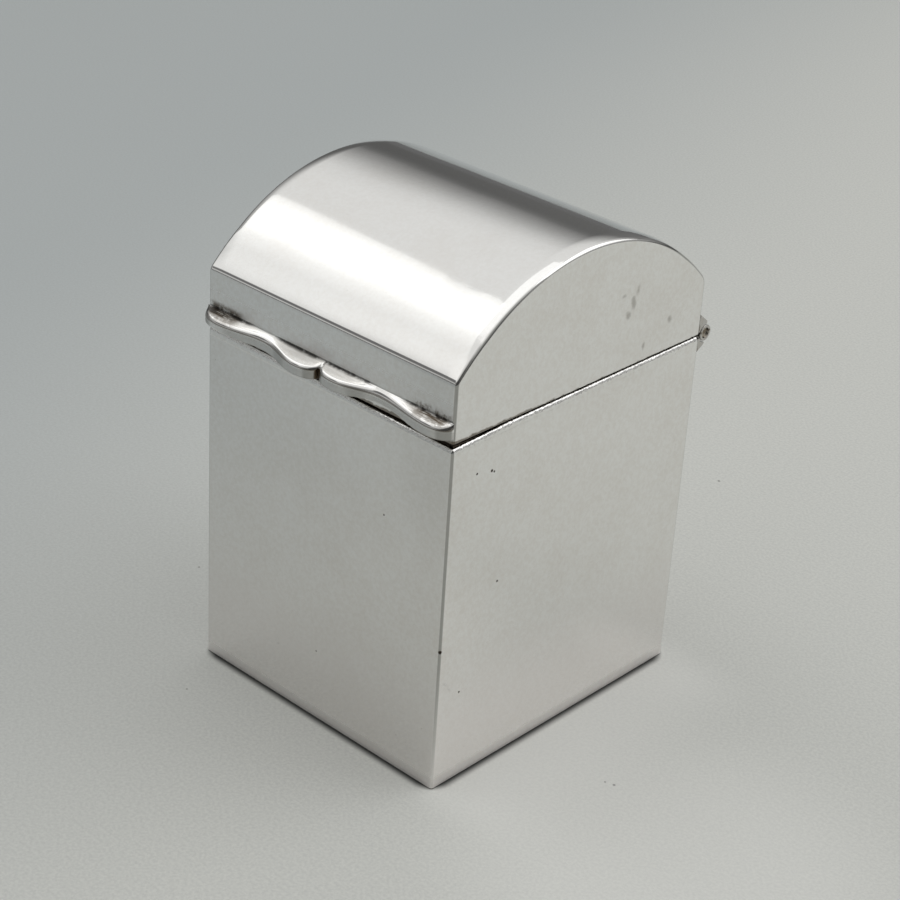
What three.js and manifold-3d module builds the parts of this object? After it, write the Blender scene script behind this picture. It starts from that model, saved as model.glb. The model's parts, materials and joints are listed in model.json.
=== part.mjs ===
// A plain silver box for standing packs of playing cards: a folded four-sided body, a barrel-domed lid
// on a full-width hinge along the back, and a wavy thumb piece across the lid's front wall.
// Millimetres, +Z up. The origin is the middle of the underside, and the front faces -Y.

import * as THREE from 'three';
import { mergeVertices } from 'three/addons/utils/BufferGeometryUtils.js';
import Module from 'manifold-3d';

const wasm = await Module();
wasm.setup();

// Box
const WIDTH = 68;
const DEPTH = 74;
const BODY_HEIGHT = 77.6;
const SHEET = 0.8;
const BASE_SHEET = 0.9;
const CORNER_RADIUS = 1.0;
const SEAM_GAP = 1.0;
const SOLDER_GAP = 0.05;
const LEAST_RADIUS = 0.05;

// Lid
const LID_WALL = 12.9;
const DOME_RISE = 17.2;
const FRONT_BEND = 1.0;
const BACK_SHOULDER = 4.0;

// Lip inside the mouth, on the front and both sides
const LIP_SHEET = 0.7;
const LIP_DROP = 6;
const LIP_RISE = 1.7;
const LIP_CLEARANCE = 0.25;

// Partition between the two wells
const PARTITION_SHEET = 0.8;
const PARTITION_BELOW_LIP = 4;

// Thumb piece, with its projections measured out from the lid's front wall
const THUMB_LIFT = 1.2;
const THUMB_HEIGHT = 2.8;
const THUMB_LOBE = 4.1;
const THUMB_LOBE_OFFSET = 4.8;
const THUMB_WAIST = 1.4;
const THUMB_END = 3.8;
const THUMB_END_INSET = 6;
const THUMB_NOTCH = 1.7;
const THUMB_NOTCH_WIDTH = 0.6;

// Hinge
const KNUCKLE_COUNT = 7;
const KNUCKLE_RADIUS = 1.75;
const KNUCKLE_WALL = 0.6;
const KNUCKLE_GAP = 0.3;
const KNUCKLE_STAND = 0.65;
const HINGE_INSET = 0.3;
const PIN_CLEARANCE = 0.1;
const PIN_RECESS = 0.4;
const TROUGH_CLEARANCE = 0.3;
const LID_BEARER_REACH = 4.8;
const LID_BEARER_NOSE = 0.65;
const BODY_BEARER_REACH = 3.7;
const BODY_BEARER_NOSE = 0.35;
const LID_BEARER_FACE = THREE.MathUtils.degToRad(85);
const BODY_BEARER_FACE = THREE.MathUtils.degToRad(95);
const BEARER_EDGE = THREE.MathUtils.degToRad(160);

// Fineness of round stretches
const SMALL_ARC = 8;
const DOME_ARC = 40;
const FULL_CIRCLE = 32;
const WAVE_STEPS = 10;

// Places worked out from the sizes above
const halfWidth = WIDTH / 2;
const halfDepth = DEPTH / 2;
const innerWidth = halfWidth - SHEET;
const innerDepth = halfDepth - SHEET;
const lidBottom = BODY_HEIGHT + SEAM_GAP;
const shoulder = lidBottom + LID_WALL;
const domeRadius = (halfDepth ** 2 + DOME_RISE ** 2) / (2 * DOME_RISE);
const domeCentre = shoulder + DOME_RISE - domeRadius;
const axisStand = KNUCKLE_RADIUS + KNUCKLE_STAND;
const axisY = halfDepth + axisStand;
const axisZ = BODY_HEIGHT + SEAM_GAP / 2;
const troughRadius = KNUCKLE_RADIUS + TROUGH_CLEARANCE;

const polishedSilver = { color: 0xd9d8d3, roughness: 0.12, metalness: 1 };
const whitenedSilver = { color: 0xcfccc4, roughness: 0.4, metalness: 1 };

// Points on an arc, from one angle to another, in the plane of an outline
function arc(centreX, centreY, radius, from, to, steps) {
  const points = [];
  for (let i = 0; i <= steps; i += 1) {
    const angle = from + ((to - from) * i) / steps;
    points.push(new THREE.Vector2(centreX + radius * Math.cos(angle), centreY + radius * Math.sin(angle)));
  }
  return points;
}

function roundedRect(width, depth, radius) {
  const x = width / 2 - radius;
  const y = depth / 2 - radius;
  const quarter = Math.PI / 2;
  return [
    ...arc(x, y, radius, 0, quarter, SMALL_ARC),
    ...arc(-x, y, radius, quarter, 2 * quarter, SMALL_ARC),
    ...arc(-x, -y, radius, 2 * quarter, 3 * quarter, SMALL_ARC),
    ...arc(x, -y, radius, 3 * quarter, 4 * quarter, SMALL_ARC),
  ];
}

function rectangle(x0, y0, x1, y1) {
  return [new THREE.Vector2(x0, y0), new THREE.Vector2(x1, y0), new THREE.Vector2(x1, y1), new THREE.Vector2(x0, y1)];
}

// An outline seen from above, raised from one height to another
function raise(outline, bottom, top, hole) {
  const shape = new THREE.Shape(outline);
  if (hole) shape.holes.push(new THREE.Path(hole));
  const geometry = new THREE.ExtrudeGeometry(shape, { depth: top - bottom, bevelEnabled: false });
  return geometry.translate(0, 0, bottom);
}

// An outline in the plane of Y and Z, drawn out along X
function drawAcross(outline, left, right, hole) {
  const geometry = raise(outline, left, right, hole);
  const turn = new THREE.Matrix4().makeBasis(
    new THREE.Vector3(0, 1, 0),
    new THREE.Vector3(0, 0, 1),
    new THREE.Vector3(1, 0, 0),
  );
  return geometry.applyMatrix4(turn);
}

// An outline in the plane of X and Z, drawn back along Y
function drawBack(outline, front, back) {
  const geometry = raise(outline, -back, -front);
  return geometry.rotateX(Math.PI / 2);
}

function toSolid(geometry) {
  const bare = geometry.clone().deleteAttribute('normal').deleteAttribute('uv');
  const merged = mergeVertices(bare, 1e-5);
  return new wasm.Manifold(new wasm.Mesh({
    numProp: 3,
    vertProperties: new Float32Array(merged.attributes.position.array),
    triVerts: new Uint32Array(merged.index.array),
  }));
}

function toGeometry(solid) {
  const mesh = solid.getMesh();
  const geometry = new THREE.BufferGeometry();
  geometry.setAttribute('position', new THREE.BufferAttribute(mesh.vertProperties, 3));
  geometry.setIndex(new THREE.BufferAttribute(mesh.triVerts, 1));
  geometry.computeVertexNormals();
  return geometry;
}

function addPiece(group, name, geometry, finish) {
  const piece = new THREE.Mesh(geometry, new THREE.MeshStandardMaterial(finish));
  piece.name = name;
  group.add(piece);
}

// Body

function bodyWrap() {
  const outside = roundedRect(WIDTH, DEPTH, CORNER_RADIUS);
  const innerRadius = Math.max(CORNER_RADIUS - SHEET, LEAST_RADIUS);
  const inside = roundedRect(2 * innerWidth, 2 * innerDepth, innerRadius);
  return raise(outside, 0, BODY_HEIGHT, inside);
}

function basePlate() {
  const radius = Math.max(CORNER_RADIUS - SHEET, LEAST_RADIUS);
  const outline = roundedRect(2 * (innerWidth - SOLDER_GAP), 2 * (innerDepth - SOLDER_GAP), radius);
  return raise(outline, 0, BASE_SHEET);
}

// Section of the lip: inward distance from the wall's inner face, and height.
// Above the rim its outer face steps in, to clear the lid.
function lipSection(wall, inward) {
  const bottom = BODY_HEIGHT - LIP_DROP;
  const top = BODY_HEIGHT + LIP_RISE;
  const at = (distance, height) => new THREE.Vector2(wall + inward * distance, height);
  return [
    at(SOLDER_GAP, bottom),
    at(SOLDER_GAP + LIP_SHEET, bottom),
    at(SOLDER_GAP + LIP_SHEET, top),
    at(LIP_CLEARANCE, top),
    at(LIP_CLEARANCE, BODY_HEIGHT),
    at(SOLDER_GAP, BODY_HEIGHT),
  ];
}

function frontLip() {
  const reach = innerWidth - LIP_SHEET - 2 * SOLDER_GAP;
  return drawAcross(lipSection(-innerDepth, 1), -reach, reach);
}

function sideLip(side) {
  const reach = innerDepth - LIP_CLEARANCE;
  return drawBack(lipSection(side * innerWidth, -side), -reach, reach);
}

function partition() {
  const reach = innerWidth - SOLDER_GAP;
  const bottom = BASE_SHEET + SOLDER_GAP;
  const top = BODY_HEIGHT - LIP_DROP - PARTITION_BELOW_LIP;
  return drawAcross(rectangle(-PARTITION_SHEET / 2, bottom, PARTITION_SHEET / 2, top), -reach, reach);
}

// Lid

// The lid's outline from its front foot over the dome to its back foot, set in by a distance.
// The dome runs into the front wall by a tight bend and into the back wall by a wide one.
function lidOutline(inset) {
  const half = halfDepth - inset;
  const dome = domeRadius - inset;
  const bend = (outer) => {
    const radius = Math.max(outer - inset, LEAST_RADIUS);
    const y = half - radius;
    const z = domeCentre + Math.sqrt((dome - radius) ** 2 - y ** 2);
    return { radius, y, z, angle: Math.atan2(z - domeCentre, y) };
  };
  const front = bend(FRONT_BEND);
  const back = bend(BACK_SHOULDER);
  const frontAngle = Math.PI - front.angle;
  return [
    new THREE.Vector2(-half, lidBottom),
    ...arc(-front.y, front.z, front.radius, Math.PI, frontAngle, SMALL_ARC),
    ...arc(0, domeCentre, dome, frontAngle, back.angle, DOME_ARC).slice(1, -1),
    ...arc(back.y, back.z, back.radius, back.angle, 0, SMALL_ARC),
    new THREE.Vector2(half, lidBottom),
  ];
}

// The lid's upright corners are rounded like the body's
function roundUprightCorners(geometry) {
  const outline = roundedRect(WIDTH, DEPTH, CORNER_RADIUS);
  const column = toSolid(raise(outline, 0, shoulder + DOME_RISE + SHEET));
  return toGeometry(toSolid(geometry).intersect(column));
}

function lidWrap() {
  const outline = [...lidOutline(0), ...lidOutline(SHEET).reverse()];
  return roundUprightCorners(drawAcross(outline, -halfWidth, halfWidth));
}

function gable(side) {
  const outer = side * halfWidth;
  const inner = side * innerWidth;
  const outline = lidOutline(SHEET + SOLDER_GAP);
  return roundUprightCorners(drawAcross(outline, Math.min(outer, inner), Math.max(outer, inner)));
}

// An easy wave from one projection to another along X, without its first point
function wave(x0, out0, x1, out1) {
  const points = [];
  for (let i = 1; i <= WAVE_STEPS; i += 1) {
    const share = i / WAVE_STEPS;
    const ease = (1 - Math.cos(Math.PI * share)) / 2;
    points.push([x0 + (x1 - x0) * share, out0 + (out1 - out0) * ease]);
  }
  return points;
}

// A quarter of an oval from the crest of a lobe down to its flank, without its first point
function roundOff(x0, out0, x1, out1) {
  const points = [];
  for (let i = 1; i <= WAVE_STEPS; i += 1) {
    const angle = (Math.PI / 2) * (i / WAVE_STEPS);
    points.push([x0 + (x1 - x0) * Math.sin(angle), out1 + (out0 - out1) * Math.cos(angle)]);
  }
  return points;
}

// Plan of the thumb piece: a notch between two lobes in the middle, a waist and a rounded lobe at each end
function thumbPiece() {
  const endLobe = halfWidth - THUMB_END_INSET;
  const waist = (THUMB_LOBE_OFFSET + endLobe) / 2;
  const inward = roundOff(THUMB_LOBE_OFFSET, THUMB_LOBE, THUMB_NOTCH_WIDTH / 2, THUMB_NOTCH);
  const rightHalf = [
    ...inward.reverse(),
    [THUMB_LOBE_OFFSET, THUMB_LOBE],
    ...wave(THUMB_LOBE_OFFSET, THUMB_LOBE, waist, THUMB_WAIST),
    ...wave(waist, THUMB_WAIST, endLobe, THUMB_END),
    ...roundOff(endLobe, THUMB_END, halfWidth, 0),
  ];
  const wall = -halfDepth - SOLDER_GAP;
  const right = rightHalf.map(([x, out]) => new THREE.Vector2(x, wall - out));
  const left = rightHalf.map(([x, out]) => new THREE.Vector2(-x, wall - out)).reverse();
  const bottom = lidBottom + THUMB_LIFT;
  return raise([...left, ...right], bottom, bottom + THUMB_HEIGHT);
}

// Hinge

function knuckleSpan(index) {
  const length = (WIDTH - 2 * HINGE_INSET - (KNUCKLE_COUNT - 1) * KNUCKLE_GAP) / KNUCKLE_COUNT;
  const left = -halfWidth + HINGE_INSET + index * (length + KNUCKLE_GAP);
  return [left, left + length];
}

function circle(radius) {
  return arc(axisY, axisZ, radius, 0, 2 * Math.PI, FULL_CIRCLE).slice(0, -1);
}

function knuckle(index) {
  const [left, right] = knuckleSpan(index);
  return drawAcross(circle(KNUCKLE_RADIUS), left, right, circle(KNUCKLE_RADIUS - KNUCKLE_WALL));
}

function hingePin() {
  const reach = halfWidth - HINGE_INSET - PIN_RECESS;
  return drawAcross(circle(KNUCKLE_RADIUS - KNUCKLE_WALL - PIN_CLEARANCE), -reach, reach);
}

// A wedge on the back wall, hollowed to a trough round the knuckles.
// The lid's wedge lies above the axis, the body's below it.
function bearer(upDown, reach, noseThickness, face) {
  const wall = axisY - axisStand + SOLDER_GAP;
  const nose = troughRadius + noseThickness;
  const trough = arc(axisY, axisZ, troughRadius, upDown * face, upDown * BEARER_EDGE, SMALL_ARC);
  const outline = [
    new THREE.Vector2(wall, axisZ + upDown * reach),
    new THREE.Vector2(axisY + nose * Math.cos(face), axisZ + upDown * nose * Math.sin(face)),
    ...trough,
    new THREE.Vector2(wall, trough[trough.length - 1].y),
  ];
  const length = halfWidth - HINGE_INSET;
  return drawAcross(outline, -length, length);
}

const box = new THREE.Group();

const body = new THREE.Group();
box.add(body);
addPiece(body, 'body_wrap', bodyWrap(), polishedSilver);
addPiece(body, 'base_plate', basePlate(), whitenedSilver);
addPiece(body, 'mouth_lip_front', frontLip(), whitenedSilver);
addPiece(body, 'mouth_lip_left', sideLip(-1), whitenedSilver);
addPiece(body, 'mouth_lip_right', sideLip(1), whitenedSilver);
addPiece(body, 'partition', partition(), whitenedSilver);
const bodyBearer = bearer(-1, BODY_BEARER_REACH, BODY_BEARER_NOSE, BODY_BEARER_FACE);
addPiece(body, 'body_hinge_bearer', bodyBearer, polishedSilver);
addPiece(body, 'hinge_pin', hingePin(), polishedSilver);

// The lid turns about the hinge axis, and its pieces are drawn in the box's own frame
const lid = new THREE.Group();
lid.position.set(0, axisY, axisZ);
box.add(lid);
const lidPieces = new THREE.Group();
lidPieces.position.copy(lid.position).negate();
lid.add(lidPieces);
addPiece(lidPieces, 'lid_wrap', lidWrap(), polishedSilver);
addPiece(lidPieces, 'gable_left', gable(-1), polishedSilver);
addPiece(lidPieces, 'gable_right', gable(1), polishedSilver);
addPiece(lidPieces, 'thumb_piece', thumbPiece(), polishedSilver);
const lidBearer = bearer(1, LID_BEARER_REACH, LID_BEARER_NOSE, LID_BEARER_FACE);
addPiece(lidPieces, 'lid_hinge_bearer', lidBearer, polishedSilver);

// Knuckles are numbered from the left, and the body has the first and the last
for (let i = 0; i < KNUCKLE_COUNT; i += 1) {
  const onBody = i % 2 === 0;
  const name = `${onBody ? 'body' : 'lid'}_knuckle_${i + 1}`;
  addPiece(onBody ? body : lidPieces, name, knuckle(i), polishedSilver);
}

export default box;
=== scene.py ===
import json
import math
from types import SimpleNamespace

import bmesh
import bpy
from mathutils import Matrix, Vector

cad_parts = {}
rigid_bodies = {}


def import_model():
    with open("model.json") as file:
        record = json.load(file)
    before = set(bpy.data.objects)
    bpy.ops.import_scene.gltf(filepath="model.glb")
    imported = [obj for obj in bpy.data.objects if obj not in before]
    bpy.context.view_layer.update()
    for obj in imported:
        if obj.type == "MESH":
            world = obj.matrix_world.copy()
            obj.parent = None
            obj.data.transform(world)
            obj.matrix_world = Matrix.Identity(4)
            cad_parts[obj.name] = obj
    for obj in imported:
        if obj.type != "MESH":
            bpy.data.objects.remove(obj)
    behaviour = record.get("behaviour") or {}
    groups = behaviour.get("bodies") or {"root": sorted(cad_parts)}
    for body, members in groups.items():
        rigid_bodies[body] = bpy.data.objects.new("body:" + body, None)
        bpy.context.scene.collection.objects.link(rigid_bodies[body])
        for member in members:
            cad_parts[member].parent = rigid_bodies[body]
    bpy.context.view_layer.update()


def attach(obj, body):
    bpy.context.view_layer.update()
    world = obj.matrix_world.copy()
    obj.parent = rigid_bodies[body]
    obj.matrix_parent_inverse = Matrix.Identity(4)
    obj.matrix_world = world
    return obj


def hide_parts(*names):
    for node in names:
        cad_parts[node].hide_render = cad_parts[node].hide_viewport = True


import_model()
scene = bpy.context.scene
scene.view_settings.view_transform = "Standard"
mm = 0.001  # the sizes in the dictionaries are in millimetres
hair = 0.02  # a corner this close to a place is there
squareOn = 0.9  # how much of a normal lies along an axis, where its face looks that way

# the box's main sizes, as in the solids
box = {"halfWidth": 34.0, "halfDepth": 37.0, "rim": 77.6, "sheet": 0.8, "lidFoot": 78.6}
innerWidth = box["halfWidth"] - box["sheet"]
innerDepth = box["halfDepth"] - box["sheet"]


# helpers for working by hand

def putDown():  # object mode with nothing selected
    if bpy.context.mode != "OBJECT":
        bpy.ops.object.mode_set(mode="OBJECT")
    bpy.ops.object.select_all(action="DESELECT")


def takeUp(piece):
    putDown()
    piece.select_set(True)
    bpy.context.view_layer.objects.active = piece


def editPiece(piece):
    takeUp(piece)
    bpy.ops.object.mode_set(mode="EDIT")
    bpy.ops.mesh.select_all(action="DESELECT")


def startBlock(low, high):
    putDown()
    middle = [(a + b) / 2 * mm for a, b in zip(low, high)]
    size = [(b - a) * mm for a, b in zip(low, high)]
    bpy.ops.mesh.primitive_cube_add(size=1, location=middle, scale=size)
    bpy.ops.object.transform_apply(location=True, rotation=True, scale=True)
    return bpy.context.object


def startSheet(width, height, place, turn):  # a flat plane, set up at its place
    putDown()
    bpy.ops.mesh.primitive_plane_add(size=1, location=[a * mm for a in place], rotation=turn)
    piece = bpy.context.object
    piece.scale = (width * mm, height * mm, 1)
    bpy.ops.object.transform_apply(location=True, rotation=True, scale=True)
    return piece


def startRod(radius, left, right, y, z, sides, capped):  # a round bar or tube along X
    putDown()
    ends = "NGON" if capped else "NOTHING"
    bpy.ops.mesh.primitive_cylinder_add(
        vertices=sides, radius=radius * mm, depth=(right - left) * mm, end_fill_type=ends,
        location=((left + right) / 2 * mm, y * mm, z * mm), rotation=(0, math.pi / 2, 0))
    bpy.ops.object.transform_apply(location=True, rotation=True, scale=True)
    return bpy.context.object


def near(value, place, slack=0.01):
    return abs(value - place) < slack


def pickItems(kind, test):  # selects the corners, edges or faces that pass
    bpy.ops.mesh.select_mode(type=kind)
    bpy.ops.mesh.select_all(action="DESELECT")
    data = bpy.context.object.data
    mesh = bmesh.from_edit_mesh(data)
    for item in {"VERT": mesh.verts, "EDGE": mesh.edges, "FACE": mesh.faces}[kind]:
        if test(item):
            item.select_set(True)
    mesh.select_flush_mode()
    bmesh.update_edit_mesh(data)


def pick(kind, test):  # selects what has all its corners where the test says, in millimetres
    def allThere(item):
        corners = [item] if kind == "VERT" else item.verts
        return all(test(*(corner.co / mm)) for corner in corners)

    pickItems(kind, allThere)


def isUpright(edge):
    first, second = (corner.co / mm for corner in edge.verts)
    return near(first.x, second.x) and near(first.y, second.y)


def moveBy(x, y, z):
    bpy.ops.transform.translate(value=(x * mm, y * mm, z * mm))


def extrudeBy(x, y, z):
    bpy.ops.mesh.extrude_region_move(TRANSFORM_OT_translate={"value": (x * mm, y * mm, z * mm)})


def roundOver(width, steps=4):
    bpy.ops.mesh.bevel(offset=width * mm, offset_type="OFFSET", segments=steps, profile=0.5,
                       affect="EDGES", clamp_overlap=True)


def thicken(piece, sheet):  # the sheet goes inwards from the outer face
    takeUp(piece)
    bpy.ops.object.modifier_add(type="SOLIDIFY")
    wall = piece.modifiers[-1]
    wall.thickness = sheet * mm
    wall.offset = -1
    wall.use_even_offset = True
    bpy.ops.object.modifier_apply(modifier=wall.name)


def mergeDoubles():
    apart = 0.0004
    bpy.ops.mesh.select_all(action="SELECT")
    bpy.ops.mesh.remove_doubles(threshold=apart * mm)


def faceOut(piece):
    editPiece(piece)
    mergeDoubles()
    bpy.ops.mesh.normals_make_consistent(inside=False)


def finishPiece(piece, name, node, body, slot, finish):
    smoothUpTo = 40  # degrees
    takeUp(piece)
    bpy.ops.object.shade_smooth_by_angle(angle=math.radians(smoothUpTo))
    bpy.ops.object.modifier_add(type="WEIGHTED_NORMAL")  # keeps the flats flat beside their rounded edges
    piece.modifiers[-1].keep_sharp = True
    bpy.ops.object.modifier_apply(modifier=piece.modifiers[-1].name)
    piece.name = name
    piece.data.name = name
    piece.data.materials.clear()
    piece.data.materials.append(finish)
    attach(piece, body)
    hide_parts(node)
    putDown()
    return piece


def lineInside(piece, finish, isInside):  # a second finish on the faces of the inside
    piece.data.materials.append(finish)
    for face in piece.data.polygons:
        if isInside(face):
            face.material_index = 1


# helpers for materials

class Value:  # what comes out of a node, to be used in sums

    def __init__(self, socket):
        self.socket = socket
        self.tree = socket.id_data

    def __add__(self, other):
        return maths("ADD", self, other)

    def __sub__(self, other):
        return maths("SUBTRACT", self, other)

    def __rsub__(self, other):
        return maths("SUBTRACT", other, self)

    def __mul__(self, other):
        return maths("MULTIPLY", self, other)

    def __abs__(self):
        return maths("ABSOLUTE", self, 0.0)


def fill(socket, value):  # with a link or with a plain number
    if isinstance(value, Value):
        value.tree.links.new(value.socket, socket)
    else:
        socket.default_value = value


def addNode(tree, kind, settings=None, **inputs):  # in0, in1 and so on are inputs by their number
    made = tree.nodes.new(kind)
    for key, value in (settings or {}).items():
        setattr(made, key, value)
    for key, value in inputs.items():
        byNumber = key.startswith("in") and key[2:].isdigit()
        fill(made.inputs[int(key[2:])] if byNumber else made.inputs[key], value)
    return made


def maths(how, first, second):
    tree = first.tree if isinstance(first, Value) else second.tree
    return Value(addNode(tree, "ShaderNodeMath", {"operation": how}, in0=first, in1=second).outputs[0])


def most(first, *others):
    for other in others:
        first = maths("MAXIMUM", first, other)
    return first


def step(value, low, high):  # 0 at low, 1 at high, whichever is greater
    settings = {"interpolation_type": "SMOOTHSTEP"}
    return Value(addNode(value.tree, "ShaderNodeMapRange", settings, in0=value, in1=low, in2=high).outputs[0])


def within(value, low, high, soft):  # 1 between low and high, falling off over soft
    return step(value, low - soft, low) * step(value, high + soft, high)


def vectorMaths(how, first, **others):  # those that give a plain number
    made = addNode(first.tree, "ShaderNodeVectorMath", {"operation": how}, in0=first, **others)
    return Value(made.outputs["Value"])


def axesOf(vector):
    return [Value(axis) for axis in addNode(vector.tree, "ShaderNodeSeparateXYZ", None, in0=vector).outputs]


def stretched(where, scale, turn=(0, 0, 0), shift=(0, 0, 0)):
    turn = [math.radians(angle) for angle in turn]
    made = addNode(where.tree, "ShaderNodeMapping", None, Vector=where, Location=shift, Rotation=turn,
                   Scale=scale)
    return Value(made.outputs[0])


def noise(where, scale, detail, rough):
    made = addNode(where.tree, "ShaderNodeTexNoise", None, Vector=where, Scale=scale, Detail=detail,
                   Roughness=rough)
    return Value(made.outputs[0])


hairline = {"stretch": (0.11, 8.0, 8.0), "noise": (1.0, 3.0, 0.6), "soft": 0.09}


def hairlines(where, turn, density):  # long fine scratches in one direction
    lines = noise(stretched(where, hairline["stretch"], turn), *hairline["noise"])
    return step(lines, density, density + hairline["soft"])


def spots(where, places):  # 1 in the middle of each place, given as x, y, z and radius
    core = 0.35  # the part of the radius that is full
    return most(*(step(vectorMaths("DISTANCE", where, in1=place), radius, radius * core)
                  for *place, radius in places))


def mixColour(share, first, second):
    made = addNode(share.tree, "ShaderNodeMix", {"data_type": "RGBA"}, in0=share, in6=first, in7=second)
    return Value(made.outputs[2])


def levelRamp(value, levels):  # greys along a ramp, a little warm
    lessBlue = 0.985
    ramp = addNode(value.tree, "ShaderNodeValToRGB", None, in0=value)
    stops = ramp.color_ramp.elements
    while len(stops) < len(levels):
        stops.new(0.5)  # its place comes next
    for stop, (place, level) in zip(stops, levels):
        stop.position = place
        stop.color = (level, level, level * lessBlue, 1)
    return Value(ramp.outputs[0])


def newFinish(name):  # its shader, and what its patterns are made from
    finish = bpy.data.materials.new(name)
    finish.use_nodes = True
    tree = finish.node_tree
    seen = addNode(tree, "ShaderNodeTexCoord").outputs
    at = SimpleNamespace(where=stretched(Value(seen["Object"]), [1 / mm] * 3))
    at.x, at.y, at.z = axesOf(at.where)  # in millimetres
    at.aside = abs(at.x)
    at.faceX, at.faceY, at.faceZ = axesOf(Value(seen["Normal"]))  # the way that the surface faces
    return finish, tree.nodes["Principled BSDF"], at


def dress(shader, relief, inputs):  # relief in millimetres
    bump = addNode(relief.tree, "ShaderNodeBump", None, Height=relief, Strength=1.0, Distance=mm)
    fill(shader.inputs["Normal"], Value(bump.outputs[0]))
    for name, value in inputs.items():
        fill(shader.inputs[name], value)


# polished silver: in the dictionaries, pairs are where a mark starts and where it is full,
# and threes are its two ends and how far it fades beyond them
silverLook = {
    "tint": (0.935, 0.932, 0.92, 1), "warmTint": (0.86, 0.838, 0.809, 1), "rosy": (0.91, 0.876, 0.864, 1),
    "shaded": (0.30, 0.30, 0.285, 1), "tarnishAndShade": (0.13, 0.098, 0.066, 1), "black": (0.022, 0.02, 0.018, 1),
    # roughness of clean metal, of hazy patches and of hairlines, and what dirt and painted shade, and wear,
    # add to it
    "gloss": 0.06, "hazed": 0.115, "scuffed": 0.21, "dirty": 0.3, "satin": 0.26, "footWorn": 0.55,
    # noises: scale, detail and roughness
    "haze": (0.07, 4.0, 0.6), "cloud": (0.55, 5.0, 0.65), "tone": (1.1, 4.0, 0.75),
    "patches": (0.36, 0.56),  # of the cloud, where dirt stays
    # angles that they are turned by, and how sparse
    "hairlines": [((20, 35, 15), 0.66), ((-35, 60, 40), 0.68), ((70, -15, 80), 0.68)],
}

# old polish and tarnish in the seam between lid and body
seamDirt = {"height": (79.75, 79.35), "foot": (78.0, 78.3), "ragged": 1.6, "share": 0.8,
            "lift": 0.55, "liftY": (0.0, -30.0),  # it reaches higher towards the front
            "cleanY": (-36.5, -36.9), "cleanX": (4.0, -12.0)}  # the left part of the front is clean


def dirtInSeam(at, look):
    height = at.z + at.cloud * look["ragged"] - step(at.y, *look["liftY"]) * look["lift"]
    clean = step(at.y, *look["cleanY"]) * step(at.x, *look["cleanX"])
    return step(height, *look["height"]) * step(at.z, *look["foot"]) * (1.0 - clean) * look["share"]


# dirt that cloths don't reach round the thumb piece; painted shade in its notch, under it and in a line below
# its worn edge; and black in the corner behind it
thumbDirtAndShade = {
    "leftEnd": (-24.0, -28.5), "rightEnd": (20.0, 27.0),
    "proud": (-37.02, -37.06), "wall": (-36.9, -36.98),  # y of the strip and of the lid's wall above it
    "top": (82.05, 83.3, 0.1), "topY": (-36.98, -37.02), "topFlat": (0.88, 0.97),  # the worn edge stays white
    "streaks": (0.22, 2.6, 0.6),
    "behindY": (-38.4, -37.3), "behind": 0.3, "waists": (13.5, 20.5, 2.5),
    "leftEndY": (-39.4, -38.3), "rightEndY": (-39.0, -38.2), "endStreaks": (0.36, 0.52),
    "lobeX": (15.0, 11.0), "lobeY": (-40.7, -38.2), "lobeStreaks": (0.3, 0.56), "lobes": 0.14,
    "above": 0.8, "aboveX": (25.5, 32.0, 2.5), "aboveZ": (83.0, 83.6, 1.3),
    # painted shade in the notch
    "notchX": (0.75, 0.45), "notchZ": (79.9, 81.85, 0.12),
    "ledge": 0.6, "ledgeZ": (80.9, 82.2, 0.1), "ledgeTilt": (0.12, 0.3, 0.12),  # painted shade line below the worn edge
    # painted shade under the strip
    "under": 0.2, "underZ": (79.7, 79.95, 0.12), "underTilt": (-0.95, -0.6),
    # black corner behind the strip, less at the waists
    "nookY": (-37.55, -37.2), "leftNookY": (-38.9, -38.1), "nookReach": (-39.5, -36.9, 0.1),
    "nookZ": (83.0, 83.3, 0.18), "nook": 0.8, "nookWaists": (15.0, 19.5, 3.0), "nookLess": 0.65,
    "nookPatchy": 0.5,
}


def findThumb(at, look):  # adds the parts of the thumb piece to what patterns are made from
    at.leftEnd, at.rightEnd = step(at.x, *look["leftEnd"]), step(at.x, *look["rightEnd"])
    at.proud, at.onWall = step(at.y, *look["proud"]), step(at.y, *look["wall"])
    at.onTop = within(at.z, *look["top"]) * step(at.y, *look["topY"])


def dirtOnThumb(at, look):
    streak = noise(stretched(at.where, look["streaks"]), *hairline["noise"])
    behind = step(at.y, *look["behindY"]) * at.patchy * look["behind"]
    behind = behind * (1.0 - within(at.aside, *look["waists"]))
    atEnds = most(step(at.y, *look["leftEndY"]) * at.leftEnd, step(at.y, *look["rightEndY"]) * at.rightEnd)
    atEnds = atEnds * step(streak, *look["endStreaks"])
    lobes = step(at.aside, *look["lobeX"]) * step(at.y, *look["lobeY"]) * look["lobes"]
    lobes = lobes * step(streak, *look["lobeStreaks"])
    onTop = at.onTop * most(behind, lobes, atEnds) * step(at.faceZ, *look["topFlat"])
    above = within(at.z, *look["aboveZ"]) * within(at.aside, *look["aboveX"]) * look["above"]
    above = above * at.onWall * at.patchy
    # painted shade: the notch, a line below the worn edge, and the underside of the strip
    notch = step(at.aside, *look["notchX"]) * within(at.z, *look["notchZ"])
    ledge = within(at.z, *look["ledgeZ"]) * within(at.faceZ, *look["ledgeTilt"]) * look["ledge"]
    under = within(at.z, *look["underZ"]) * step(at.faceZ, *look["underTilt"]) * look["under"]
    return most(onTop, above, most(notch, ledge, under) * at.proud)


def blackBehindThumb(at, look):
    nook = most(step(at.y, *look["nookY"]), step(at.y, *look["leftNookY"]) * at.leftEnd) * at.onTop
    nook = most(nook, within(at.z, *look["nookZ"]) * at.onWall) * within(at.y, *look["nookReach"])
    nook = nook * (look["nook"] - within(at.aside, *look["nookWaists"]) * look["nookLess"])
    return nook * (at.patchy * look["nookPatchy"] + (1.0 - look["nookPatchy"]))


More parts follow.
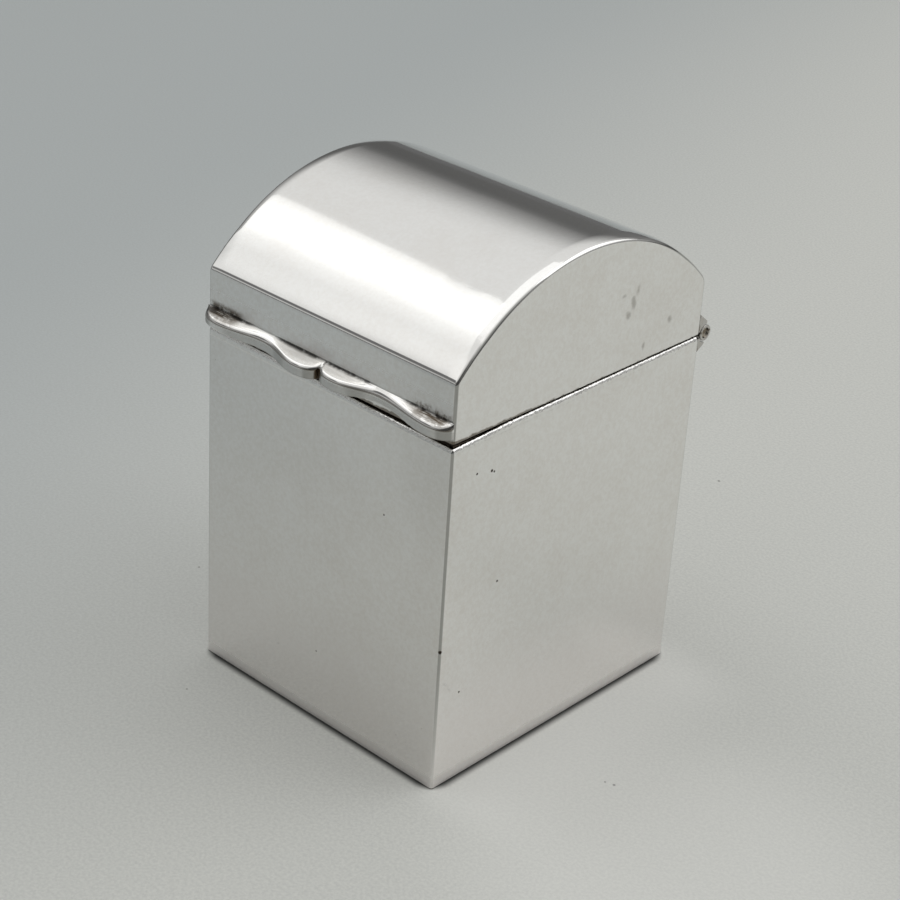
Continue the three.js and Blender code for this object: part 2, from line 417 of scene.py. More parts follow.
# dirt on the bearers and knuckles of the hinge
hingeDirt = {"y": (37.03, 37.06), "wallY": (37.9, 37.06), "atWall": 0.8, "clouds": (0.42, 0.75),
             "cloudy": 0.4, "endX": (33.3, 33.6), "atEnds": 0.42}


def dirtAtHinge(at, look):
    atWall = step(at.y, *look["wallY"]) * at.patchy * look["atWall"]
    cloudy = step(at.cloud, *look["clouds"]) * look["cloudy"]
    atEnds = step(at.aside, *look["endX"]) * look["atEnds"]
    return most(atWall, cloudy, atEnds) * step(at.y, *look["y"])


# marks of long use, and a painted shadow along the foot
silverMarks = {
    # small pits and a shallow dent: x, y, z and radius, then how deep
    "pits": [(34.0, -25.5, 69.2, 0.42), (34.0, -24.8, 68.8, 0.3), (34.0, -29.7, 70.0, 0.32),
             (34.0, -21.5, 43.0, 0.32), (33.85, -36.8, 32.9, 0.52), (34.0, -30.6, 20.9, 0.3),
             (17.3, -37.0, 56.6, 0.24), (-0.1, -37.0, 16.5, 0.2)],
    "pitDeep": 0.08, "pitBlack": 0.8, "dents": [(21.8, -20.6, 104.0, 6.0)], "dentDeep": 0.045,
    # faint stains on the right-hand gable: y, z, half width and half height
    "stains": [(12.0, 90.3, 1.3, 1.5), (13.4, 92.4, 1.2, 2.4), (14.6, 95.0, 1.0, 2.0), (10.2, 95.0, 1.2, 0.9),
               (26.0, 85.4, 1.2, 1.2), (18.0, 81.8, 0.7, 1.3)],
    "stainX": 34.0, "stainRagged": 2.2, "stainEdge": (1.9, 1.2), "stainShare": 0.4,
    # specks all over, in a few cells of a pattern
    "speckScale": 0.16, "speckSize": (0.026, 0.012), "speckRare": (0.72, 0.74), "speckShare": 0.6,
    # painted shadow: black along the very foot of the walls, where they stand on the floor
    "footBlack": 0.97, "footZ": (0.32, 0.1),
}


def stainsOnGable(at, look):
    marks = []
    for y, z, wide, tall in look["stains"]:
        shift = (-look["stainX"], -y / wide, -z / tall)
        place = stretched(at.where, (1.0, 1 / wide, 1 / tall), shift=shift)
        far = vectorMaths("LENGTH", place)
        marks.append(step(far + at.cloud * look["stainRagged"], *look["stainEdge"]))
    return most(*marks) * look["stainShare"]


def specksAllOver(at, look):
    tree = at.where.tree
    cells = addNode(tree, "ShaderNodeTexVoronoi", None, Vector=at.where, Scale=look["speckScale"]).outputs
    chance = addNode(tree, "ShaderNodeSeparateColor", None, in0=Value(cells["Color"])).outputs[0]
    specks = step(Value(cells["Distance"]), *look["speckSize"]) * step(Value(chance), *look["speckRare"])
    return specks * look["speckShare"]


# how the tint changes over the box, with painted shade on the front, the thumb piece, the upright corners and
# the gable's edges
silverTintAndPaintedShade = {
    "warmHaze": (0.42, 0.68), "warmHazeShare": 0.3, "warmTone": (0.36, 0.64),
    "warmUpright": 0.8, "warmLess": 0.5, "level": (0.1, 0.6),  # less warm where the surface looks up
    "rosyZ": (36.0, 8.0), "rosy": 0.55,
    # painted shade: darker in front, most of all beside the right-hand edge and on the thumb piece
    "front": 0.125, "frontFacing": (-0.86, -0.97), "frontLess": 0.065, "frontLessZ": (62.0, 82.0),
    "edgeX": (12.0, 32.0), "edgeZ": (45.0, 85.0), "edge": 0.13, "edgeLow": 0.02,
    "thumbZ": (79.9, 81.3, 0.3), "thumb": 0.44, "thumbLeftLess": 0.36,
    # painted shade: dark lines along the upright corners, and round the right-hand gable at the front and at
    # the back
    "corner": (0.12, 0.36), "cornerZ": (-12.0, 34.0), "cornerShare": 0.8,
    "gableFrontY": (-10.0, -27.0), "gableFront": 0.85, "gableBackY": (8.0, 22.0), "gableBack": 0.7,
    "gableFacing": (0.62, 0.9, 0.08), "gableZ": (84.0, 88.0),
}


# painted shade on faces and edges, by the way they face and how high they stand
def paintedShadeOnSilver(at, look):
    front = look["front"] - step(at.z, *look["frontLessZ"]) * look["frontLess"]
    edge = step(at.z, *look["edgeZ"]) * look["edge"] + look["edgeLow"]
    front = (front + step(at.x, *look["edgeX"]) * edge) * step(at.faceY, *look["frontFacing"])
    thumb = at.proud * within(at.z, *look["thumbZ"]) * (look["thumb"] - at.leftEnd * look["thumbLeftLess"])
    corner = step(abs(at.faceX * at.faceY), *look["corner"]) * look["cornerShare"]
    corner = corner * step(at.z, *look["cornerZ"])
    gable = step(at.y, *look["gableFrontY"]) * look["gableFront"]
    gable = gable + step(at.y, *look["gableBackY"]) * look["gableBack"]
    gable = gable * within(at.faceX, *look["gableFacing"]) * step(at.z, *look["gableZ"])
    return most(front, thumb, corner, gable)


def tintOfSilver(at, look, shade):
    upright = shade["warmUpright"] - step(at.faceZ, *shade["level"]) * shade["warmLess"]
    warm = step(noise(at.where, *look["tone"]), *shade["warmTone"]) * upright
    warm = warm + step(at.haze, *shade["warmHaze"]) * shade["warmHazeShare"]
    tint = mixColour(warm, look["tint"], look["warmTint"])
    tint = mixColour(step(at.z, *shade["rosyZ"]) * shade["rosy"], tint, look["rosy"])  # towards the foot
    # painted shade over the tint
    return mixColour(paintedShadeOnSilver(at, shade), tint, look["shaded"])


# satin places: the lid's front wall and the front of the thumb piece; and the foot, scuffed by standing
silverDull = {"haze": (0.3, 0.75), "wallZ": (82.4, 86.0, 2.0), "wallFacing": (-0.9, -0.97),
              "thumbZ": (79.7, 81.2, 0.3), "footZ": (4.0, 0.8)}


def roughnessOfSilver(at, look, dull):
    satin = most(within(at.z, *dull["wallZ"]) * step(at.faceY, *dull["wallFacing"]),
                 within(at.z, *dull["thumbZ"]) * at.proud)
    rough = step(at.haze, *dull["haze"]) * (look["hazed"] - look["gloss"]) + look["gloss"]
    rough = rough + at.lines * (look["scuffed"] - look["hazed"]) + at.dirt * look["dirty"]
    return rough + satin * look["satin"] + step(at.z, *dull["footZ"]) * look["footWorn"]


# relief in millimetres: waves from the planishing hammer, grain, hairlines, and an uneven dome and rim
silverRelief = {"waves": (0.045, 1.0, 0.5), "waveHigh": 0.10, "grain": (7.0, 3.0, 0.6), "grainHigh": 0.0004,
                "hairlineDeep": 0.0007, "dome": (1.7, 2.0, 0.5), "domeFacing": (0.3, 0.7), "domeHigh": 0.0016,
                "rim": (1.3, 3.0, 0.6), "rimZ": (76.7, 78.3, 0.3), "rimHigh": 0.16}


def reliefOfSilver(at, marks, relief):
    high = noise(at.where, *relief["waves"]) * relief["waveHigh"]
    high = high + noise(at.where, *relief["grain"]) * relief["grainHigh"] - at.lines * relief["hairlineDeep"]
    high = high - at.pits * marks["pitDeep"] - spots(at.where, marks["dents"]) * marks["dentDeep"]
    onDome = step(at.faceZ, *relief["domeFacing"]) * noise(at.where, *relief["dome"])
    atRim = within(at.z, *relief["rimZ"]) * noise(at.where, *relief["rim"])
    return high + onDome * relief["domeHigh"] + atRim * relief["rimHigh"]


def polishedSilver(look, marks):
    finish, shader, at = newFinish("polishedSilver")
    at.haze, at.cloud = noise(at.where, *look["haze"]), noise(at.where, *look["cloud"])
    at.patchy = step(at.cloud, *look["patches"])
    at.lines = most(*(hairlines(at.where, turn, density) for turn, density in look["hairlines"]))
    at.pits = spots(at.where, marks["pits"])
    findThumb(at, thumbDirtAndShade)
    # dirt and tarnish, with the painted shade round the thumb piece
    at.dirt = most(dirtInSeam(at, seamDirt), dirtOnThumb(at, thumbDirtAndShade), dirtAtHinge(at, hingeDirt),
                   at.pits, stainsOnGable(at, marks), specksAllOver(at, marks))
    # black: a painted shadow along the foot, the corner behind the thumb piece, and the pits
    black = most(step(at.z, *marks["footZ"]) * marks["footBlack"], blackBehindThumb(at, thumbDirtAndShade),
                 at.pits * marks["pitBlack"])
    tint = mixColour(at.dirt, tintOfSilver(at, look, silverTintAndPaintedShade), look["tarnishAndShade"])
    rough = roughnessOfSilver(at, look, silverDull)
    dress(shader, reliefOfSilver(at, marks, silverRelief),
          {"Base Color": mixColour(black, tint, look["black"]), "Roughness": rough, "Metallic": 1.0})
    return finish


whiteLook = {"pale": (0.88, 0.868, 0.835, 1), "yellowed": (0.80, 0.765, 0.69, 1),
             "tarnishAndShade": (0.055, 0.045, 0.035, 1),
             "cloud": (0.09, 5.0, 0.6), "clouds": (0.35, 0.7), "grain": (5.0, 4.0, 0.65),
             "rubTurn": (0, 75, 10), "rubDensity": 0.6,  # upright rubs left by the cards
             "rough": 0.30, "grainRough": 0.16, "rubGloss": 0.12, "grainHigh": 0.004, "rubDeep": 0.001,
             # the outer side of the lips is dark, where it shows through the seam
             "lipX": (32.7, 32.9), "lipY": (35.7, 35.9), "lipZ": (77.0, 79.1, 0.25)}


def whitenedSilver(look):
    finish, shader, at = newFinish("whitenedSilver")
    grain = noise(at.where, *look["grain"])
    rub = hairlines(at.where, look["rubTurn"], look["rubDensity"])
    tint = mixColour(step(noise(at.where, *look["cloud"]), *look["clouds"]), look["pale"], look["yellowed"])
    outside = most(step(at.aside, *look["lipX"]), step(abs(at.y), *look["lipY"]))
    outside = outside * within(at.z, *look["lipZ"])
    rough = grain * look["grainRough"] + look["rough"] - rub * look["rubGloss"]
    dress(shader, grain * look["grainHigh"] - rub * look["rubDeep"],
          {"Base Color": mixColour(outside, tint, look["tarnishAndShade"]), "Roughness": rough, "Metallic": 1.0})
    return finish


wireLook = {"bright": (0.62, 0.58, 0.51, 1), "dark": (0.24, 0.20, 0.155, 1), "cloud": (0.9, 5.0, 0.6),
            "clouds": (0.4, 0.62), "rough": 0.18, "cloudRough": 0.35, "cloudHigh": 0.01}


def hingeWire(look):
    finish, shader, at = newFinish("hingeWire")
    cloud = noise(at.where, *look["cloud"])
    tint = mixColour(step(cloud, *look["clouds"]), look["bright"], look["dark"])
    dress(shader, cloud * look["cloudHigh"],
          {"Base Color": tint, "Roughness": cloud * look["cloudRough"] + look["rough"], "Metallic": 1.0})
    return finish


# each slot with its finish
silver = ("polished_silver", polishedSilver(silverLook, silverMarks))
white = ("whitened_silver", whitenedSilver(whiteLook))
wire = ("hinge_wire", hingeWire(wireLook))
print("finishes made")


# body: walls in one sheet, base, lips round the mouth and a partition
bodyWalls = {"corner": 0.62, "cornerSteps": 8, "rim": 0.68, "rimSteps": 5, "rimTall": 1.9, "innerRim": 0.08,
             "foot": 0.2,
             # the rim isn't level: how far each corner, and a place on the right-hand side, is up
             "uneven": [((-1, -1), 0.78), ((1, -1), -0.15), ((1, 1), 0.45), ((-1, 1), 0.5)],
             "sideAt": -21.0, "sideUp": 0.4, "cornerReach": 4.0, "rimReach": 2.0,
             "offRound": 0.05, "liningFrom": 0.7}  # slack round the corners, and where the inside starts


def depthIn(x, y):  # how far a point lies inside the rounded outline of the walls
    corner = bodyWalls["corner"]
    pastX = abs(x) - box["halfWidth"] + corner
    pastY = abs(y) - box["halfDepth"] + corner
    return corner - math.hypot(max(pastX, 0), max(pastY, 0)) - min(max(pastX, pastY), 0)


def unevenRim(shape):
    low = box["rim"] - shape["rimReach"]
    pick("FACE", lambda x, y, z: x > innerWidth - hair)
    bpy.ops.mesh.bisect(plane_co=(0, shape["sideAt"] * mm, 0), plane_no=(0, 1, 0))
    pick("VERT", lambda x, y, z: z > low and x > innerWidth - hair and near(y, shape["sideAt"]))
    moveBy(0, 0, shape["sideUp"])
    for (sideX, sideY), up in shape["uneven"]:
        corner = (sideX * box["halfWidth"], sideY * box["halfDepth"])
        pick("VERT", lambda x, y, z: z > low and math.dist((x, y), corner) < shape["cornerReach"])
        moveBy(0, 0, up)


def makeBodyWalls(shape):
    wide, deep, top, offRound = box["halfWidth"], box["halfDepth"], box["rim"], shape["offRound"]
    piece = startBlock((-wide, -deep, 0), (wide, deep, top))
    editPiece(piece)
    for level in (0, top):  # open below and above
        pick("FACE", lambda x, y, z: near(z, level))
        bpy.ops.mesh.delete(type="ONLY_FACE")
    pickItems("EDGE", isUpright)
    roundOver(shape["corner"], shape["cornerSteps"])
    thicken(piece, box["sheet"])
    editPiece(piece)
    pick("EDGE", lambda x, y, z: near(z, top) and near(depthIn(x, y), 0, offRound))
    roundOver(shape["rim"], shape["rimSteps"])
    pick("EDGE", lambda x, y, z: near(z, top) and near(depthIn(x, y), box["sheet"], offRound))
    roundOver(shape["innerRim"], steps=3)
    pick("VERT", lambda x, y, z: z > top - shape["rim"] - hair and depthIn(x, y) < shape["rim"] - hair)
    bpy.ops.transform.resize(value=(1, 1, shape["rimTall"]), center_override=(0, 0, top * mm))
    pick("EDGE", lambda x, y, z: near(z, 0) and near(depthIn(x, y), 0, offRound))
    roundOver(shape["foot"])
    unevenRim(shape)
    return piece


walls = finishPiece(makeBodyWalls(bodyWalls), "bodyWalls", "body_wrap", "body", *silver)
lineInside(walls, white[1], lambda face: depthIn(*face.center.xy / mm) > bodyWalls["liningFrom"])

basePlate = {"sheet": 0.9, "edge": 0.12, "corner": 0.25}


def makeBasePlate(shape):
    piece = startBlock((-innerWidth, -innerDepth, 0), (innerWidth, innerDepth, shape["sheet"]))
    editPiece(piece)
    pickItems("EDGE", isUpright)
    roundOver(shape["corner"])
    pick("EDGE", lambda x, y, z: near(z, 0))
    roundOver(shape["edge"], steps=2)
    return piece


finishPiece(makeBasePlate(basePlate), "basePlate", "base_plate", "body", *white)
print("body walls and base made")

# the lips stand off the walls by the gap, and step in above the rim to let the lid's foot pass
mouthLip = {"below": 6.0, "above": 1.7, "sheet": 0.7, "gap": 0.05, "stepIn": 0.2, "top": 0.22,
            "frontShort": 0.8, "sideShort": 0.25}


def makeLip(shape, low, high, outward):  # outward is the way from the lip to the wall behind it
    rim = box["rim"]
    top = rim + shape["above"]
    piece = startBlock((*low, rim - shape["below"]), (*high, top))
    editPiece(piece)
    for level in (rim, rim - shape["stepIn"]):
        bpy.ops.mesh.select_all(action="SELECT")
        bpy.ops.mesh.bisect(plane_co=(0, 0, level * mm), plane_no=(0, 0, 1))
    outerFace = max(abs(a * way) for corner in (low, high) for a, way in zip(corner, outward) if way)
    pick("VERT", lambda x, y, z: z > rim - hair and near(abs(x * outward[0] + y * outward[1]), outerFace))
    moveBy(-outward[0] * shape["stepIn"], -outward[1] * shape["stepIn"], 0)
    pick("EDGE", lambda x, y, z: near(z, top))
    roundOver(shape["top"])
    return piece


def lipAcross(shape):
    y = -innerDepth + shape["gap"]
    reach = innerWidth - shape["frontShort"]
    return makeLip(shape, (-reach, y), (reach, y + shape["sheet"]), (0, -1))


def lipBeside(shape, side):
    outer = side * (innerWidth - shape["gap"])
    inner = outer - side * shape["sheet"]
    reach = innerDepth - shape["sideShort"]
    return makeLip(shape, (min(outer, inner), -reach), (max(outer, inner), reach), (side, 0))


finishPiece(lipAcross(mouthLip), "frontLip", "mouth_lip_front", "body", *white)
for side, name in ((-1, "left"), (1, "right")):
    finishPiece(lipBeside(mouthLip, side), name + "Lip", "mouth_lip_" + name, "body", *white)

partitionSheet = {"sheet": 0.8, "gap": 0.05, "belowRim": 10.0, "top": 0.36}


def makePartition(shape):
    reach, half = innerWidth - shape["gap"], shape["sheet"] / 2
    low, high = basePlate["sheet"] + shape["gap"], box["rim"] - shape["belowRim"]
    piece = startBlock((-reach, -half, low), (reach, half, high))
    editPiece(piece)
    pick("EDGE", lambda x, y, z: near(z, high) and near(abs(y), half))
    roundOver(shape["top"], steps=6)
    return piece


finishPiece(makePartition(partitionSheet), "partitionSheet", "partition", "body", *white)
print("mouth lips and partition made")


# lid
lidSkin = {"wall": 12.5, "rise": 17.6, "frontBend": 2.2, "backShoulder": 4.0, "edge": 0.7, "flange": 0.3,
           "foot": 0.28, "bendSteps": 14, "domeSteps": 112, "shoulderSteps": 20,
           # wear on the dome beside the gables: how much each time, how far in, and from which heights
           "worn": 0.14, "wornWidth": 3.6, "wornLoops": (0.85, 1.4, 2.0, 2.7, 3.4),
           "wornFrom": (92.6, 94.0, 95.8, 98.0),
           "offEnd": 0.3, "offFoot": 0.1}  # slack for finding the worn ends and the foot


def domeOf(shape):  # radius and height of the middle of the dome's round
    radius = (box["halfDepth"] ** 2 + shape["rise"] ** 2) / (2 * shape["rise"])
    return radius, box["lidFoot"] + shape["wall"] + shape["rise"] - radius


def spinOver(angle, steps, y, z):  # carries the selected edge over an axis along X, from front to back
    bpy.ops.mesh.spin(steps=steps, angle=angle, center=(0, y * mm, z * mm), axis=(1, 0, 0))


def bendLidSheet(shape):  # front wall, tight bend, dome, wide shoulder and back wall in one strip
    radius, middle = domeOf(shape)
    deep, low = box["halfDepth"], box["lidFoot"]
    bends = []
    for bend in (shape["frontBend"], shape["backShoulder"]):
        z = middle + math.sqrt((radius - bend) ** 2 - (deep - bend) ** 2)
        bends.append((deep - bend, z, math.atan2(z - middle, deep - bend)))
    (frontY, frontZ, frontTurn), (backY, backZ, backTurn) = bends
    rise = frontZ - low
    piece = startSheet(2 * box["halfWidth"], rise, (0, -deep, low + rise / 2), (math.pi / 2, 0, 0))
    editPiece(piece)
    pick("EDGE", lambda x, y, z: near(z, frontZ))
    spinOver(frontTurn, shape["bendSteps"], -frontY, frontZ)
    spinOver(math.pi - frontTurn - backTurn, shape["domeSteps"], 0, middle)
    spinOver(backTurn, shape["shoulderSteps"], backY, backZ)
    extrudeBy(0, 0, low - backZ)
    faceOut(piece)
    return piece


def wearDomeSides(piece, shape):  # polishing has worn the dome down towards the gables
    wide = box["halfWidth"]
    editPiece(piece)
    for inset in shape["wornLoops"]:
        for side in (-1, 1):
            bpy.ops.mesh.select_all(action="SELECT")
            bpy.ops.mesh.bisect(plane_co=(side * (wide - inset) * mm, 0, 0), plane_no=(1, 0, 0))
    bpy.ops.mesh.select_all(action="SELECT")
    bpy.ops.mesh.bisect(plane_co=(0, 0, (shape["wornFrom"][0] - shape["wornWidth"]) * mm), plane_no=(0, 0, 1))
    for low in shape["wornFrom"]:  # a little at a time, so that it starts gently above the crease
        pick("VERT", lambda x, y, z: near(abs(x), wide, shape["offEnd"]) and z > low)
        bpy.ops.transform.shrink_fatten(value=-shape["worn"] * mm, use_proportional_edit=True,
                                        proportional_edit_falloff="SHARP",
                                        proportional_size=shape["wornWidth"] * mm)
    for side in (-wide, wide):  # the ends stay upright
        pick("VERT", lambda x, y, z: near(x, side, shape["offEnd"]))
        bpy.ops.transform.resize(value=(0, 1, 1), center_override=(side * mm, 0, 0))


def meetsGable(edge):  # where a flat end meets the skin
    ends = [face for face in edge.link_faces if abs(face.normal.x) > squareOn]
    return len(ends) == 1 and len(edge.link_faces) == 2


def partOff(how):  # separates part of the piece in hand and gives back what came off
    others = set(bpy.data.objects)
    bpy.ops.mesh.separate(type=how)
    putDown()
    return (set(bpy.data.objects) - others).pop()


def makeLidShell(shape):  # skin and gables as one shell, rounded over, and then parted where they are joined
    wide = box["halfWidth"]
    piece = bendLidSheet(shape)
    wearDomeSides(piece, shape)
    for side in (-wide, wide):
        pick("EDGE", lambda x, y, z: near(x, side))
        bpy.ops.mesh.edge_face_add()
    faceOut(piece)
    editPiece(piece)
    pickItems("EDGE", meetsGable)
    roundOver(shape["edge"], steps=6)
    pick("FACE", lambda x, y, z: near(abs(x), wide))
    bpy.ops.mesh.inset(thickness=shape["flange"] * mm, depth=0, use_boundary=False)
    plates = partOff("SELECTED")
    takeUp(plates)
    pair = [plates, partOff("LOOSE")]
    left, right = sorted(pair, key=lambda plate: plate.data.vertices[0].co.x)
    for part in (piece, left, right):
        thicken(part, box["sheet"])
        editPiece(part)
        pick("EDGE", lambda x, y, z: near(z, box["lidFoot"]) and near(depthIn(x, y), 0, shape["offFoot"]))
        roundOver(shape["foot"])
    return piece, left, right


def insideSkin(face):  # faces that look towards the middle of the dome, without the foot and the ends
    endFrom, footFrom = 0.5, -0.98
    outwards = Vector((0, face.center.y, face.center.z - domeOf(lidSkin)[1] * mm))
    return face.normal.dot(outwards) < 0 and abs(face.normal.x) < endFrom and face.normal.z > footFrom


skin, leftGable, rightGable = makeLidShell(lidSkin)
finishPiece(skin, "lidSkin", "lid_wrap", "lid", *silver)
lineInside(skin, white[1], insideSkin)
for plate, name, side in ((leftGable, "left", -1), (rightGable, "right", 1)):
    finishPiece(plate, name + "Gable", "gable_" + name, "lid", *silver)
    lineInside(plate, white[1], lambda face: face.normal.x * side < -squareOn)
print("lid skin and gables made")

thumbStrip = {"low": 79.8, "high": 82.3, "slope": 0.75, "edge": 0.14, "worn": 0.85, "steps": 16,
              "roundSteps": 5, "notch": 1.7, "notchHalf": 0.3, "lobeAt": 4.8,
              # the two halves aren't alike: how far each part stands out, and how far along from the middle
              "left": {"lobe": 4.1, "waist": 1.55, "waistAt": 16.2, "end": 3.25, "endAt": 28.0},
              "right": {"lobe": 3.3, "waist": 0.95, "waistAt": 15.4, "end": 2.7, "endAt": 29.5},
              # filed away from below: place, then how far to either side and how much each time
              "filed": [(16.8, [(9.0, 0.12), (7.0, 0.16), (5.0, 0.18), (3.0, 0.14)]),
                        (-34.0, [(16.0, 0.12), (12.0, 0.16), (9.0, 0.16), (6.0, 0.14)])], "filedMost": 0.9}


def thumbWave(shape, half):  # plan of one half: distance along the wall, and out from it
    shares = [i / shape["steps"] for i in range(1, shape["steps"] + 1)]
    notch, notchHalf, lobeAt, endAt = shape["notch"], shape["notchHalf"], shape["lobeAt"], half["endAt"]
    plan = [(notchHalf, notch)]
    for share in shares:  # up the flank of the notch to the crest of the lobe
        turn = math.pi / 2 * (1 - share)
        plan.append((lobeAt + (notchHalf - lobeAt) * math.sin(turn),
                     notch + (half["lobe"] - notch) * math.cos(turn)))
    for start, stop, outA, outB in ((lobeAt, half["waistAt"], half["lobe"], half["waist"]),
                                    (half["waistAt"], endAt, half["waist"], half["end"])):
        plan += [(start + (stop - start) * share, outA + (outB - outA) * (1 - math.cos(math.pi * share)) / 2)
                 for share in shares]
    for share in shares:  # the rounded end
        turn = math.pi / 2 * share
        plan.append((endAt + (box["halfWidth"] - endAt) * math.sin(turn), half["end"] * math.cos(turn)))
    return plan


def bendThumbStrip(shape):  # a narrow upright plane at the left end, whose far edge is carried along the wave
    wall, tall = -box["halfDepth"], shape["high"] - shape["low"]
    plan = [(-x, out) for x, out in reversed(thumbWave(shape, shape["left"]))]
    plan += thumbWave(shape, shape["right"])
    (x0, out0), (x1, out1) = plan[0], plan[1]
    turn = math.atan2(-(out1 - out0), x1 - x0)
    middle = ((x0 + x1) / 2, wall - (out0 + out1) / 2, shape["low"] + tall / 2)
    piece = startSheet(math.hypot(x1 - x0, out1 - out0), tall, middle, (math.pi / 2, 0, turn))
    editPiece(piece)
    pick("EDGE", lambda x, y, z: near(x, x1) and near(y, wall - out1))
    for (xA, outA), (xB, outB) in zip(plan[1:], plan[2:]):
        extrudeBy(xB - xA, outA - outB, 0)
    return piece


def makeThumbStrip(shape):
    wall, low, high = -box["halfDepth"], shape["low"], shape["high"]
    piece = bendThumbStrip(shape)
    bpy.ops.mesh.select_mode(type="FACE")
    bpy.ops.mesh.select_all(action="SELECT")
    extrudeBy(0, 0, 0)
    bpy.ops.transform.resize(value=(1, 0, 1), center_override=(0, wall * mm, 0))  # the copy lies on the wall
    faceOut(piece)
    editPiece(piece)
    pick("VERT", lambda x, y, z: near(z, high) and near(y, wall))
    moveBy(0, 0, shape["slope"])  # the top falls away from the wall
    for place, passes in shape["filed"]:
        for reach, up in passes:
            pick("VERT", lambda x, y, z: z < low + shape["filedMost"] and near(x, place, reach))
            moveBy(0, 0, up)
    for level, slack, width in ((low, shape["filedMost"], shape["edge"]), (high, hair, shape["worn"])):
        pick("EDGE", lambda x, y, z: near(z, level, slack) and y < wall - hair)
        roundOver(width, shape["roundSteps"])
    return piece


finishPiece(makeThumbStrip(thumbStrip), "thumbStrip", "thumb_piece", "lid", *silver)
print("thumb piece made")


# hinge
hinge = {"y": 39.4, "z": 78.1, "reach": 33.7, "count": 7, "gap": 0.3, "radius": 1.75, "wall": 0.6,
         "sides": 48, "rounded": 0.16,
         "pin": 1.05, "pinReach": 33.3, "pinRounded": 0.3, "pinRings": (0.35, 0.3)}


def fromAxis(y, z):
    return math.hypot(y - hinge["y"], z - hinge["z"])


def makeKnuckle(shape):  # the first from the left, and how far it is to the next
    length = (2 * shape["reach"] - (shape["count"] - 1) * shape["gap"]) / shape["count"]
    left, right = -shape["reach"], -shape["reach"] + length
    piece = startRod(shape["radius"], left, right, shape["y"], shape["z"], shape["sides"], False)
    thicken(piece, shape["wall"])
    editPiece(piece)
    for end in (left, right):
        for radius, width, steps in ((shape["radius"], shape["rounded"], 4),
                                     (shape["radius"] - shape["wall"], shape["rounded"] / 2, 2)):
            pick("EDGE", lambda x, y, z: near(x, end) and near(fromAxis(y, z), radius, hair))
            roundOver(width, steps)
    return piece, length + shape["gap"]


firstKnuckle, stride = makeKnuckle(hinge)
knuckles = [firstKnuckle]
for index in range(1, hinge["count"]):
    takeUp(firstKnuckle)
    bpy.ops.object.duplicate(linked=False)
    bpy.context.object.location.x = index * stride * mm
    bpy.ops.object.transform_apply(location=True, rotation=True, scale=True)
    knuckles.append(bpy.context.object)
for index, piece in enumerate(knuckles):
    body = "lid" if index % 2 else "body"
    number = index + 1
    finishPiece(piece, f"{body}Knuckle{number}", f"{body}_knuckle_{number}", body, *silver)


def makePin(shape):
    reach, radius = shape["pinReach"], shape["pin"]
    piece = startRod(radius, -reach, reach, shape["y"], shape["z"], shape["sides"], True)
    editPiece(piece)
    pick("FACE", lambda x, y, z: near(abs(x), reach))
    for share in shape["pinRings"]:  # rings on both ends, so that their rims round over evenly
        bpy.ops.mesh.inset(thickness=radius * share * mm, depth=0)
    pick("EDGE", lambda x, y, z: near(abs(x), reach) and near(fromAxis(y, z), radius, hair))
    roundOver(shape["pinRounded"])
    return piece


finishPiece(makePin(hinge), "hingePin", "hinge_pin", "body", *wire)

# angles in degrees about the hinge: the nose's face, and where the trough ends
bearers = {
    "lidBearer": {"body": "lid", "way": 1, "reach": 4.8, "nose": 0.65, "face": 85},
    "bodyBearer": {"body": "body", "way": -1, "reach": 3.7, "nose": 0.35, "face": 95},
}
bearerShape = {"offWall": 0.02, "trough": 2.05, "troughEnd": 160, "steps": 14, "rounded": 0.16}


def makeBearer(shape, one):  # a wedge on the back wall, hollowed to a trough round the knuckles
    way, wall, reach = one["way"], box["halfDepth"] + shape["offWall"], hinge["reach"]
    face, troughEnd = math.radians(one["face"]), math.radians(shape["troughEnd"])

    def roundHinge(radius, angle):
        return hinge["y"] + radius * math.cos(angle), hinge["z"] + way * radius * math.sin(angle)

    def pickLine(lineY, lineZ):
        pick("EDGE", lambda x, y, z: near(y, lineY, hair) and near(z, lineZ, hair))

    startY, startZ = roundHinge(shape["trough"], face)
    noseY, noseZ = roundHinge(shape["trough"] + one["nose"], face)
    endY, endZ = roundHinge(shape["trough"], troughEnd)
    topZ = hinge["z"] + way * one["reach"]
    middle = (0, (startY + noseY) / 2, (startZ + noseZ) / 2)
    piece = startSheet(2 * reach, one["nose"], middle, (way * face, 0, 0))  # the narrow face of the nose
    editPiece(piece)
    pickLine(startY, startZ)
    bpy.ops.mesh.spin(steps=shape["steps"], angle=troughEnd - face, axis=(-way, 0, 0),
                      center=(0, hinge["y"] * mm, hinge["z"] * mm))
    extrudeBy(0, wall - endY, 0)
    extrudeBy(0, 0, topZ - endZ)
    extrudeBy(0, noseY - wall, noseZ - topZ)
    mergeDoubles()
    for end in (-reach, reach):
        pick("EDGE", lambda x, y, z: near(x, end))
        bpy.ops.mesh.edge_face_add()
    faceOut(piece)
    editPiece(piece)
    pickLine(noseY, noseZ)
    roundOver(shape["rounded"])
    return piece


for name, one in bearers.items():
    piece, body = makeBearer(bearerShape, one), one["body"]
    finishPiece(piece, name, f"{body}_hinge_bearer", body, *silver)
print("hinge made")


